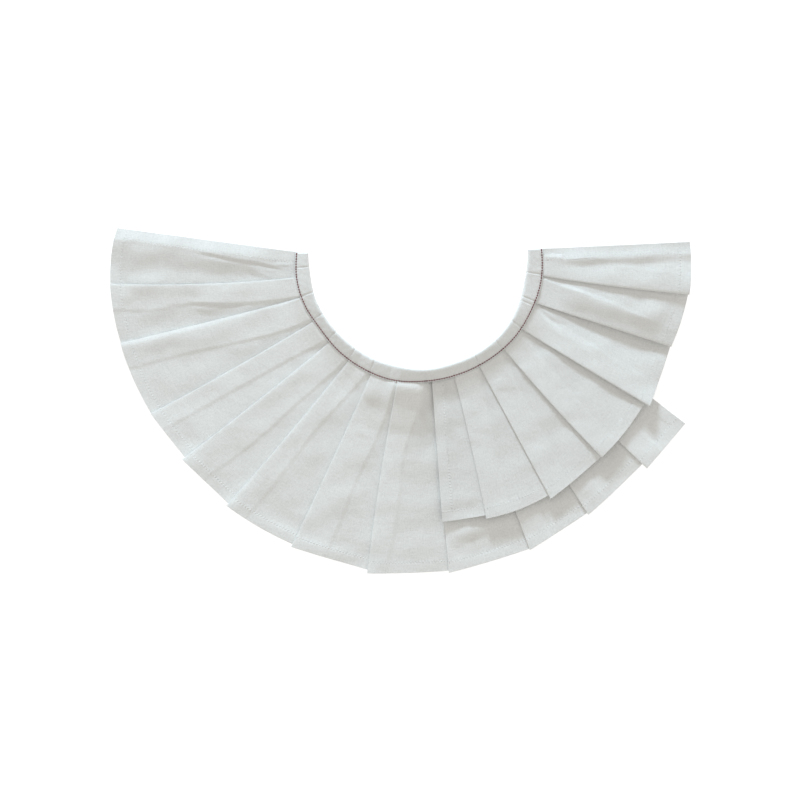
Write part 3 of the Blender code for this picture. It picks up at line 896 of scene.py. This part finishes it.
def node(tree, kind, **sockets):
    """A shader node with these inputs, each a value or another node's output."""
    made = tree.nodes.new(kind)
    for name, value in sockets.items():
        key = int(name[1:]) if name.startswith("_") else name.replace("_", " ")
        if isinstance(value, bpy.types.NodeSocket):
            tree.links.new(value, made.inputs[key])
        else:
            made.inputs[key].default_value = value
    return made


def maths(tree, operation, *values):
    """A Math node's output."""
    made = node(tree, "ShaderNodeMath", **{f"_{at}": value for at, value in enumerate(values)})
    made.operation = operation
    return made.outputs[0]


def stretched_noise(tree, vector, scale, detail=2.0, rough=0.5):
    """Noise along a direction of the cloth, finer across it."""
    mapping = node(tree, "ShaderNodeMapping", Vector=vector, Scale=scale)
    sockets = {"Vector": mapping.outputs[0], "Scale": 1.0, "Detail": detail, "Roughness": rough}
    return node(tree, "ShaderNodeTexNoise", **sockets).outputs[0]


def between(tree, value, low, high, to_low, to_high):
    """A value moved from one range to another."""
    made = node(tree, "ShaderNodeMapRange", Value=value)
    for name, number in zip(("From Min", "From Max", "To Min", "To Max"), (low, high, to_low, to_high)):
        made.inputs[name].default_value = number
    return made.outputs[0]


def bump(tree, height, distance, normal=None):
    """A Bump node's output, on top of another one's where that is given."""
    made = node(tree, "ShaderNodeBump", Height=height, Distance=distance, Strength=1.0)
    if normal is not None:
        tree.links.new(normal, made.inputs["Normal"])
    return made.outputs[0]


def attribute(tree, name):
    """One of the values that a mesh carries at its points."""
    made = tree.nodes.new("ShaderNodeAttribute")
    made.attribute_name = name
    return made.outputs["Fac"]


def blank_material(name):
    """A new material, with its node tree and its shader."""
    material = bpy.data.materials.new(name)
    material.use_nodes = True
    tree = material.node_tree
    return material, tree, tree.nodes["Principled BSDF"]


def cotton(name, single, layered, stitch_pitch, bias=0.0):
    """Plain-woven white cotton: threads, slubs and fine creasing, painted paler where layers back it,
    for the light they send back through it.
    """
    material, tree, shader = blank_material(name)
    uv = tree.nodes.new("ShaderNodeUVMap")
    uv.uv_map = "weave"
    turned = node(
        tree, "ShaderNodeMapping", Vector=uv.outputs[0], Rotation=(0.0, 0.0, bias)
    ).outputs[0]
    axes = node(tree, "ShaderNodeSeparateXYZ", Vector=turned)
    waves = [
        maths(tree, "SINE", maths(tree, "MULTIPLY", axes.outputs[axis], math.pi / THREAD))
        for axis in (0, 1)
    ]
    weave = maths(tree, "ABSOLUTE", maths(tree, "MULTIPLY", *waves))
    warp = stretched_noise(tree, turned, (1 / THREAD, 1 / SLUB, 1.0))
    weft = stretched_noise(tree, turned, (1 / SLUB, 1 / THREAD, 1.0))
    slubs = maths(tree, "ADD", warp, weft)
    crumple = stretched_noise(tree, turned, (1 / CRUMPLE, 1 / CRUMPLE, 1.0), 4.0, 0.8)
    mottle = stretched_noise(tree, turned, (1 / MOTTLE, 1 / MOTTLE, 1.0), 3.0)
    grain = stretched_noise(tree, turned, (1 / GRAIN, 0.5 / GRAIN, 1.0))

    # Painted light: paler where more layers lie beneath, for the light they send back through the thin
    # cotton
    backed = between(tree, attribute(tree, "layers"), 1.0, 3.0, 0.0, 1.0)
    shade = node(tree, "ShaderNodeMix", _0=backed)
    shade.data_type = "RGBA"
    shade.inputs["A"].default_value = (*single, 1.0)
    shade.inputs["B"].default_value = (*layered, 1.0)
    tint = maths(
        tree,
        "ADD",
        between(tree, maths(tree, "ADD", slubs, grain), *GRAIN_RANGE, -GRAIN_TINT, GRAIN_TINT),
        between(tree, mottle, *MOTTLE_RANGE, 1 - MOTTLE_TINT, 1 + MOTTLE_TINT),
    )
    grey = node(tree, "ShaderNodeCombineColor", Red=tint, Green=tint, Blue=tint)
    tinted = node(tree, "ShaderNodeMix", _0=1.0)
    tinted.data_type, tinted.blend_type = "RGBA", "MULTIPLY"
    tree.links.new(shade.outputs["Result"], tinted.inputs["A"])
    tree.links.new(grey.outputs[0], tinted.inputs["B"])
    tree.links.new(tinted.outputs["Result"], shader.inputs["Base Color"])

    down = node(tree, "ShaderNodeSeparateXYZ", Vector=uv.outputs[0]).outputs[1]
    rows = []
    for off, run, unit in (("hem_off", attribute(tree, "hem_run"), METRES), ("end_off", down, 1.0)):
        away = attribute(tree, off)
        squared = maths(tree, "MULTIPLY", away, away)
        channel = maths(tree, "EXPONENT", maths(tree, "MULTIPLY", squared, -DIMPLE_NARROW))
        beat = maths(tree, "COSINE", maths(tree, "MULTIPLY", run, 2 * math.pi * unit / stitch_pitch))
        rows.append(maths(tree, "MULTIPLY", channel, between(tree, beat, -1.0, 1.0, -1.0, 0.1)))
    dimples = maths(tree, "MINIMUM", *rows)

    creased = bump(tree, dimples, DIMPLE_DEPTH, bump(tree, crumple, CRUMPLE_HEIGHT))
    slubbed = bump(tree, slubs, SLUB_HEIGHT, creased)
    tree.links.new(bump(tree, weave, WEAVE_HEIGHT, slubbed), shader.inputs["Normal"])
    rough = between(tree, slubs, *SLUB_RANGE, *ROUGHNESS)
    tree.links.new(rough, shader.inputs["Roughness"])
    shader.inputs["Specular IOR Level"].default_value = 0.25
    shader.inputs["Sheen Weight"].default_value = 0.12
    shader.inputs["Sheen Roughness"].default_value = 0.6
    return material


def thread(name, colour, twist):
    """Sewing thread: two plies round each other, a little uneven in colour."""
    material, tree, shader = blank_material(name)
    place = tree.nodes.new("ShaderNodeTexCoord").outputs["Object"]
    plies = tree.nodes.new("ShaderNodeTexWave")
    plies.inputs["Scale"].default_value = 1 / twist
    plies.inputs["Distortion"].default_value = PLY_WAVER
    tree.links.new(place, plies.inputs["Vector"])
    noise = node(tree, "ShaderNodeTexNoise", Vector=place, Scale=THREAD_PATCHES, Detail=3.0)
    share = between(tree, noise.outputs[0], *MOTTLE_RANGE, 0.0, 1.0)
    shade = node(tree, "ShaderNodeMix", _0=share)
    shade.data_type = "RGBA"
    for side, factor in zip("AB", THREAD_SHADES):
        shade.inputs[side].default_value = (*[min(part * factor, 1.0) for part in colour], 1.0)
    tree.links.new(shade.outputs["Result"], shader.inputs["Base Color"])
    tree.links.new(bump(tree, plies.outputs["Fac"], PLY_HEIGHT), shader.inputs["Normal"])
    shader.inputs["Roughness"].default_value = 0.6
    shader.inputs["Sheen Weight"].default_value = 0.2
    shader.inputs["Sheen Roughness"].default_value = 0.4
    return material


# Stitches: sizes in metres
Stitch = namedtuple("Stitch", "place ahead up")
STITCH_FLAT = 0.9  # a stitch's height, against its thickness
STITCH_ENDS = 0.4  # share of its length from the middle past which it goes down into the cloth
STITCH_SINK = 0.35  # and how far down, against its thickness
HEM_STITCH_LONG = 0.72  # a hem stitch's length, against its pitch
HEM_PLY = 0.004  # distance over which a hem's thread turns round
SEAM_PLY = 0.003
HEM_RAISED = 0.02  # how far a hem stitch's middle is above the cloth, in millimetres
SEAM_RAISED = 0.12
THREAD_PALER = 1.02  # the hems' thread, against the cloth
AIM = 0.3  # share of the pitch, to each side, over which a stitch's direction is read
END_COLUMNS = 12  # the columns of cloth among which an end hem's line is looked for
END_TOP = 5  # the row of cloth where an end hem's stitches start


def deselect():
    """Leaves nothing selected."""
    for obj in bpy.context.selected_objects:
        obj.select_set(False)


def one_stitch(name, length, thick, material):
    """One stitch of thread, full in its middle and drawn down into the cloth at both ends."""
    deselect()
    bpy.ops.mesh.primitive_uv_sphere_add(
        segments=6, ring_count=6, radius=0.5, location=(0, 0, 0), rotation=(0, math.pi / 2, 0)
    )
    stitch = bpy.context.active_object
    stitch.name = name
    bpy.ops.object.transform_apply(location=True, rotation=True, scale=True)
    bpy.ops.object.mode_set(mode="EDIT")
    bpy.ops.transform.resize(value=(length, thick, thick * STITCH_FLAT))
    bpy.ops.mesh.select_all(action="DESELECT")
    bpy.ops.object.mode_set(mode="OBJECT")
    for vertex in stitch.data.vertices:
        vertex.select = abs(vertex.co.x) > length * STITCH_ENDS
    bpy.ops.object.mode_set(mode="EDIT")
    bpy.ops.transform.translate(value=(0, 0, -thick * STITCH_SINK))
    bpy.ops.object.mode_set(mode="OBJECT")
    stitch.data.shade_smooth()
    stitch.data.materials.append(material)
    return stitch


def sewn(name, stitches, length, thick, material):
    """All the stitches of a row, copied from one and joined; sizes are in metres."""
    first = one_stitch(name, length, thick, material)
    pattern = first.data.copy()
    deselect()
    copies = []
    for number, stitch in enumerate(stitches):
        copy = first if number == 0 else first.copy()
        if number:
            copy.data = pattern.copy()
            bpy.context.scene.collection.objects.link(copy)
        side = stitch.up.cross(stitch.ahead).normalized()
        up = stitch.ahead.cross(side).normalized()
        turn = Matrix((stitch.ahead.normalized(), side, up)).transposed().to_4x4()
        copy.data.transform(Matrix.Translation(stitch.place) @ turn)
        copies.append(copy)
    for copy in copies:
        copy.select_set(True)
    bpy.context.view_layer.objects.active = first
    bpy.ops.object.join()
    bpy.data.meshes.remove(pattern)
    deselect()
    return first


def along_line(points, ups, pitch, raised):
    """Stitches at even steps along a line of points on cloth, all in millimetres."""
    at = line_run(points)
    marks = first_stitch(at[-1], pitch) + pitch * np.arange(int(at[-1] / pitch))

    def read(values, where):
        return np.stack([np.interp(where, at, values[:, axis]) for axis in range(3)], axis=-1)

    place, up = read(points, marks), read(ups, marks)
    ahead = read(points, marks + pitch * AIM) - read(points, marks - pitch * AIM)
    up /= np.linalg.norm(up, axis=-1, keepdims=True)
    place = (place + up * raised) * METRES
    return [Stitch(*(Vector(value) for value in row)) for row in zip(place, ahead, up)]


def hem_lines(surface, inset):
    """The sewn line down, along and up a panel's hems, on each side of the cloth."""
    deep, depths = surface["deep"], surface["depths"]
    after = int(np.searchsorted(depths, deep - inset))
    part = (deep - inset - depths[after - 1]) / (depths[after] - depths[after - 1])
    lines = []
    for grid, sign in ((surface["upper"], 1), (surface["lower"], -1)):
        normal = surface["normal"] * sign
        row = grid[after - 1] * (1 - part) + grid[after] * part
        lines.append((row, normal[after]))
        side = surface["side"][0]
        for columns in (np.arange(END_COLUMNS), np.arange(len(side) - END_COLUMNS, len(side))):
            near = columns[np.argmin(np.abs(side[columns] - inset))]
            lines.append((grid[END_TOP:after, near], normal[END_TOP:after, near]))
    return lines


# What a user would change
class CollarSettings(PropertyGroup):
    single_colour: FloatVectorProperty(
        name="Single cloth",
        description="Colour of the cotton where one layer lies on the floor",
        subtype="COLOR", size=3, min=0, max=1,
        default=(0.795, 0.802, 0.798),
    )
    # Painted light: the layered colour is paler, for the light that the layers beneath send back through
    # the thin cotton
    layered_colour: FloatVectorProperty(
        name="Layered cloth",
        description="Colour of the cotton where other layers lie under it",
        subtype="COLOR", size=3, min=0, max=1,
        default=(0.820, 0.830, 0.828),
    )
    # Painted shade: the short panel's and the binding's cotton is made darker than the long one's, for
    # the dimmer light on them
    upper_painted_shade: FloatProperty(
        name="Upper pieces",
        description="Brightness of the short panel's and the binding's cotton, against the long one's",
        default=0.965, min=0, max=1,
    )
    thread_colour: FloatVectorProperty(
        name="Seam thread",
        description="Colour of the thread along the binding",
        subtype="COLOR", size=3, min=0, max=1,
        default=(0.15, 0.02, 0.035),
    )
    seam_pitch: FloatProperty(
        name="Seam stitches",
        description="Distance from one stitch of the binding's seam to the next",
        subtype="DISTANCE", unit="LENGTH", default=0.0027, min=0.001,
    )
    seam_thick: FloatProperty(
        name="Seam thread",
        description="Thickness of the thread along the binding",
        subtype="DISTANCE", unit="LENGTH", default=0.0016, min=0.0001,
    )
    hem_pitch: FloatProperty(
        name="Hem stitches",
        description="Distance from one stitch of the hems to the next",
        subtype="DISTANCE", unit="LENGTH", default=0.0032, min=0.001,
    )
    hem_thick: FloatProperty(
        name="Hem thread",
        description="Thickness of the thread in the hems",
        subtype="DISTANCE", unit="LENGTH", default=0.00075, min=0.0001,
    )
    sky: FloatProperty(
        name="Room light",
        description="Brightness of the even light from all round",
        default=0.70, min=0,
    )
    key: FloatProperty(
        name="Key light",
        description="Power of the low soft light from the collar's upper side, in watts",
        default=73.0, min=0,
    )


def dress(piece):
    """Every piece rides on the one body."""
    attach(piece, BODY)


def add_panel(settings, name, panel):
    """A pleated panel and its hem stitches, in place of the solid of the same name."""
    pitch = settings.hem_pitch / METRES
    surface = panel_surface(panel, pitch)
    cloth_uv = np.stack([surface["strip"], surface["depth"]], axis=-1)
    # Painted shade: the short panel's cotton is made darker, for the dimmer light on it
    shade = settings.upper_painted_shade if panel.on_long else 1.0
    colours = [
        [part * shade for part in colour] for colour in (settings.single_colour, settings.layered_colour)
    ]
    finish = cotton(name + "_cotton", *colours, settings.hem_pitch)
    values = {key: surface[key] for key in ("layers", "hem_off", "end_off", "hem_run")}
    cloth = grid_piece(
        name + "_cloth", surface["upper"], surface["lower"], values, cloth_uv, finish
    )
    stitches = []
    for points, ups in hem_lines(surface, SEWN_IN):
        stitches += along_line(points, ups, pitch, HEM_RAISED)
    pale = [min(part * THREAD_PALER, 1.0) for part in settings.layered_colour]
    white = thread(name + "_thread", pale, HEM_PLY)
    length = settings.hem_pitch * HEM_STITCH_LONG
    hems = sewn(name + "_hem_stitches", stitches, length, settings.hem_thick, white)
    dress(cloth)
    dress(hems)
    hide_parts(name)


class COLLAR_OT_long_panel(Operator):
    """Lay the long pleated panel, hemmed on three sides"""

    bl_idname = "collar.long_panel"
    bl_label = "Long panel"

    def execute(self, context):
        settings = context.scene.collar
        add_panel(settings, "long_panel", LONG)
        return {"FINISHED"}


class COLLAR_OT_short_panel(Operator):
    """Lay the short pleated panel over the long one"""

    bl_idname = "collar.short_panel"
    bl_label = "Short panel"

    def execute(self, context):
        settings = context.scene.collar
        add_panel(settings, "short_panel", SHORT)
        return {"FINISHED"}


class COLLAR_OT_neck_binding(Operator):
    """Fold the bias strip over the pleats and sew it down with the dark red thread"""

    bl_idname = "collar.neck_binding"
    bl_label = "Neck binding"

    def execute(self, context):
        settings = context.scene.collar
        outer, inner, uv = binding_surface()
        # Painted shade: the binding's cotton too is made darker by the same share
        colour = [part * settings.upper_painted_shade for part in settings.layered_colour]
        bias = cotton("bias_cotton", colour, colour, settings.seam_pitch, bias=math.pi / 4)
        ones = np.ones(outer.shape[:2])
        values = {"layers": ones * STACK, "hem_off": ones * FAR, "end_off": ones * FAR}
        strip = grid_piece(
            "neck_binding_cloth", outer[:, ::-1], inner[:, ::-1], values, uv[:, ::-1], bias
        )
        row = LIP.index(SEW_IN)
        points = outer[:, row]
        ups = np.cross(np.gradient(points, axis=0), outer[:, row + 1] - outer[:, row - 1])
        ups *= np.sign(ups[:, 2:3])
        stitches = along_line(points, ups, settings.seam_pitch / METRES, SEAM_RAISED)
        red = thread("seam_thread", settings.thread_colour, SEAM_PLY)
        seam = sewn("neck_seam_stitches", stitches, settings.seam_pitch, settings.seam_thick, red)
        dress(strip)
        dress(seam)
        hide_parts("neck_binding")
        return {"FINISHED"}


# The studio: sizes in metres
FLOOR_SIZE = 12.0
FLOOR_GAP = 0.0002  # how far the floor is below the collar
FLOOR_GREY = (0.62, 0.62, 0.62, 1.0)
FLOOR_GLOW = 0.62  # what lights the floor to the pale ground of the photograph
SKY_COLOUR = (1.0, 0.974, 0.922, 1.0)
KEY_PLACE = (-0.42, 2.95, 0.93)
KEY_SIZE = 0.5
KEY_COLOUR = (0.71, 0.88, 0.99)
CAMERA_HEIGHT = 1.983
CAMERA_OVER = (0.0005, 0.0006)
LENS = 85.0  # millimetres, as is the sensor
SENSOR = 36.0


class COLLAR_OT_stage(Operator):
    """Set up the pale floor, the soft studio light and the camera straight above"""

    bl_idname = "collar.stage"
    bl_label = "Stage"

    def execute(self, context):
        settings = context.scene.collar
        deselect()
        bpy.ops.mesh.primitive_plane_add(size=FLOOR_SIZE, location=(0, 0, -FLOOR_GAP))
        floor = context.active_object
        floor.name = "studio_floor"
        bpy.ops.object.transform_apply(location=True, rotation=True, scale=True)
        material, _, shader = blank_material("studio_floor")
        shader.inputs["Base Color"].default_value = FLOOR_GREY
        shader.inputs["Roughness"].default_value = 1.0
        shader.inputs["Specular IOR Level"].default_value = 0.0
        shader.inputs["Emission Color"].default_value = (1.0, 1.0, 1.0, 1.0)
        shader.inputs["Emission Strength"].default_value = FLOOR_GLOW
        floor.data.materials.append(material)

        world = bpy.data.worlds.new("studio")
        world.use_nodes = True
        sky = world.node_tree.nodes["Background"]
        sky.inputs["Color"].default_value = SKY_COLOUR
        sky.inputs["Strength"].default_value = settings.sky
        context.scene.world = world

        bpy.ops.object.light_add(type="AREA", location=KEY_PLACE)
        key = context.active_object
        key.name = "key_light"
        key.rotation_mode = "QUATERNION"
        key.rotation_quaternion = Vector(KEY_PLACE).to_track_quat("Z", "Y")
        key.data.shape = "DISK"
        key.data.size = KEY_SIZE
        key.data.energy = settings.key
        key.data.color = KEY_COLOUR

        bpy.ops.object.camera_add(location=(*CAMERA_OVER, CAMERA_HEIGHT), rotation=(0, 0, 0))
        camera = context.active_object
        camera.name = "camera_above"
        camera.data.lens = LENS
        camera.data.sensor_width = SENSOR
        context.scene.camera = camera
        context.scene.view_settings.view_transform = "Standard"
        deselect()
        return {"FINISHED"}


class COLLAR_PT_panel(Panel):
    """Builds the collar piece by piece"""

    bl_idname = "COLLAR_PT_panel"
    bl_label = "Pleated collar"
    bl_space_type = "VIEW_3D"
    bl_region_type = "UI"
    bl_category = "Collar"

    def draw(self, context):
        for operator in OPERATORS:
            self.layout.operator(operator.bl_idname)
        for name in CollarSettings.__annotations__:
            self.layout.prop(context.scene.collar, name)


OPERATORS = (
    COLLAR_OT_stage,
    COLLAR_OT_long_panel,
    COLLAR_OT_short_panel,
    COLLAR_OT_neck_binding,
)
CLASSES = (CollarSettings, *OPERATORS, COLLAR_PT_panel)


def register():
    for cls in CLASSES:
        bpy.utils.register_class(cls)
    bpy.types.Scene.collar = PointerProperty(type=CollarSettings)


def unregister():
    del bpy.types.Scene.collar
    for cls in reversed(CLASSES):
        bpy.utils.unregister_class(cls)


def main():
    register()
    bpy.ops.collar.stage()
    bpy.ops.collar.long_panel()
    bpy.ops.collar.short_panel()
    bpy.ops.collar.neck_binding()


if __name__ == "__main__":
    main()
